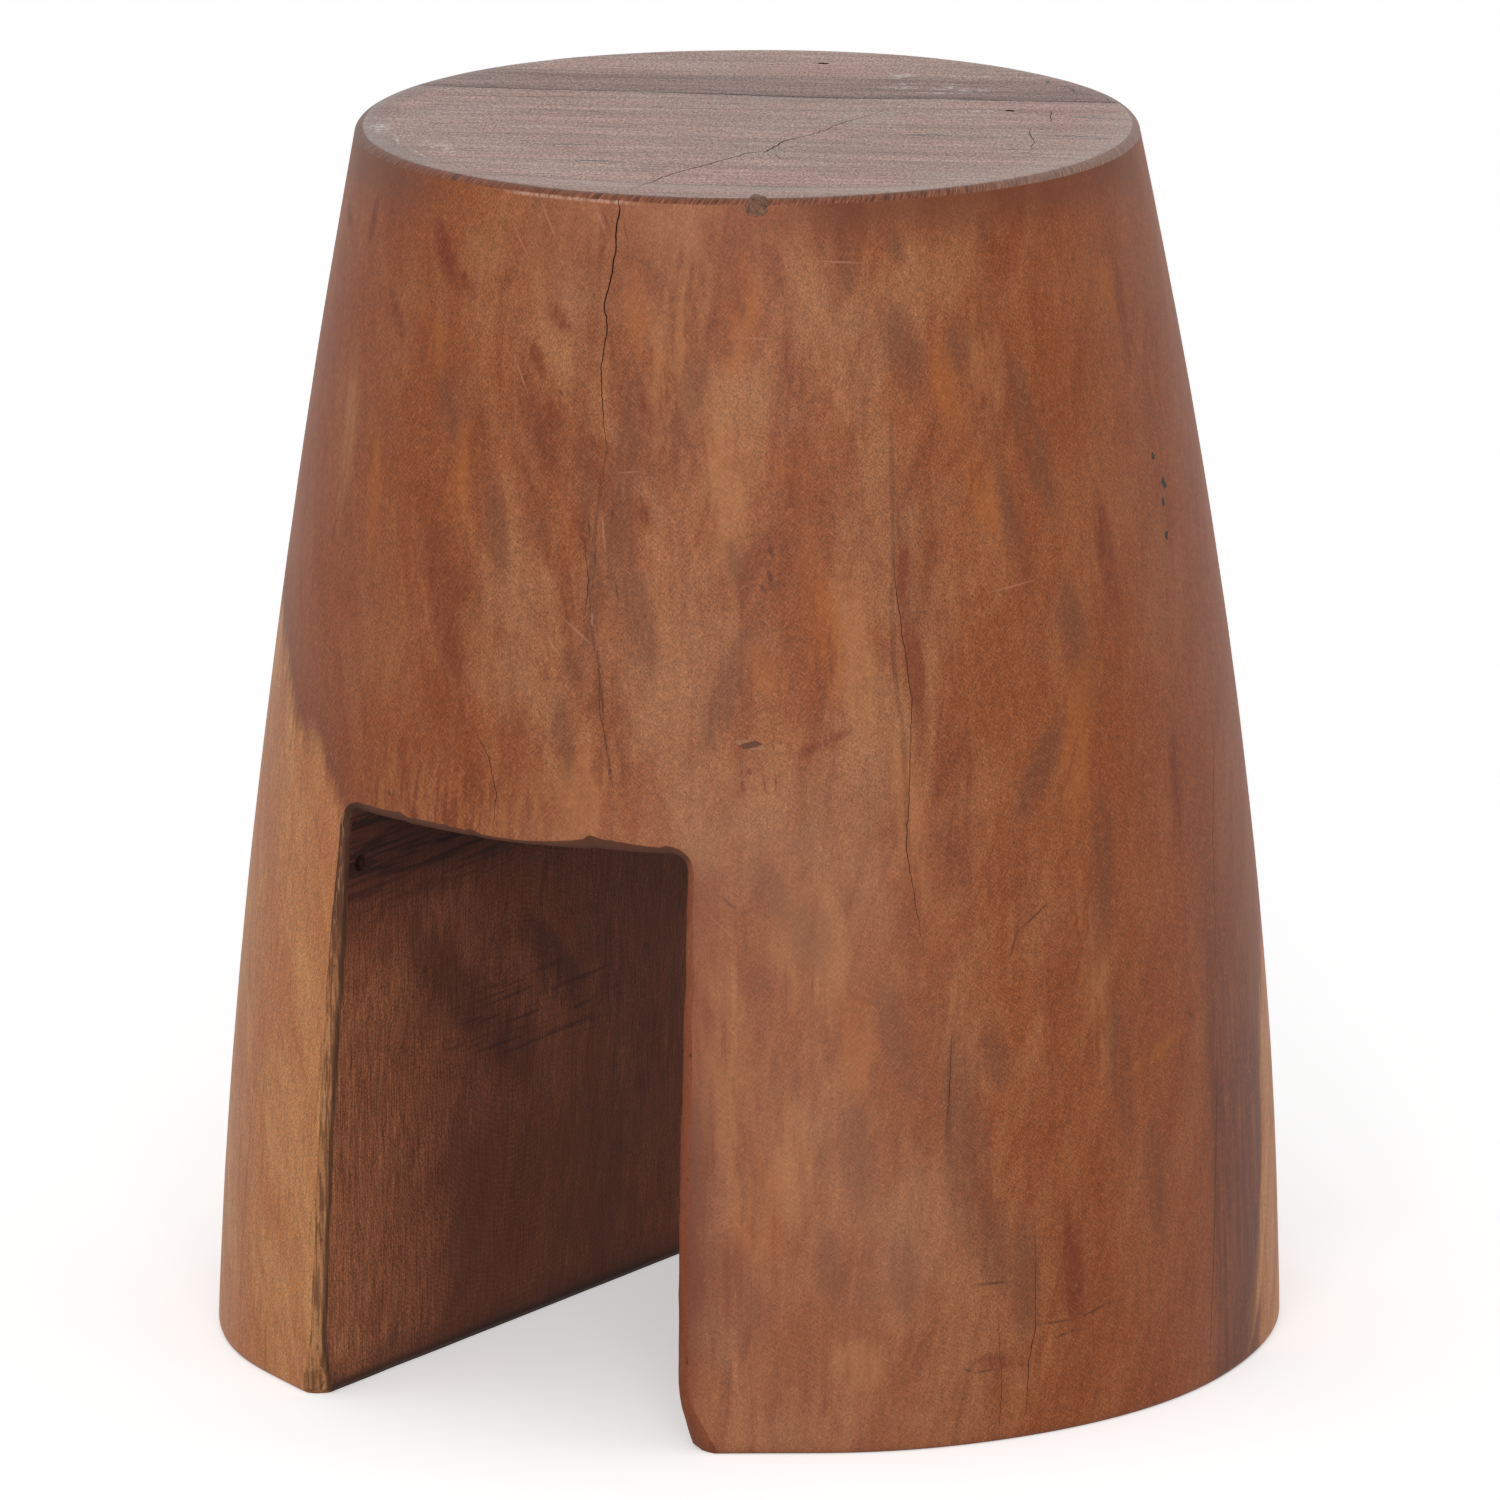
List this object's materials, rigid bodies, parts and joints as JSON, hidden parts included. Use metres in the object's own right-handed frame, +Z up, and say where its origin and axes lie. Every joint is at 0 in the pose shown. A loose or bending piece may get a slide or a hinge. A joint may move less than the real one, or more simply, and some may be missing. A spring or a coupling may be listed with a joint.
{
  "type": "wooden stool",
  "caption": "Solid trunk-section stool: round flared body with a flat end-grain seat and a tunnel through its lower half that leaves two legs.",
  "frame": {"origin": "on the floor, under the middle of the body", "axes": "+Z up, +Y along the tunnel from its front mouth to its back mouth, +X towards the thinner leg"},
  "size_m": [0.3903, 0.3632, 0.45],
  "materials": {
    "trunk_wood": "oiled and waxed, satin",
    "knot_wood": "oiled end grain, satin",
    "wood_filler": "sanded flush, matt",
    "dark_resin": "hardened dark resin, sanded",
    "bark": "rough, unpolished"
  },
  "bodies": {
    "root": {"trunk_block": "trunk_wood", "rim_knot": "knot_wood", "check_fill": "wood_filler", "pit_fill_1": "dark_resin", "pit_fill_2": "dark_resin", "pit_fill_3": "dark_resin", "pit_fill_4": "dark_resin", "bark_pocket": "bark"}
  },
  "joints": []
}
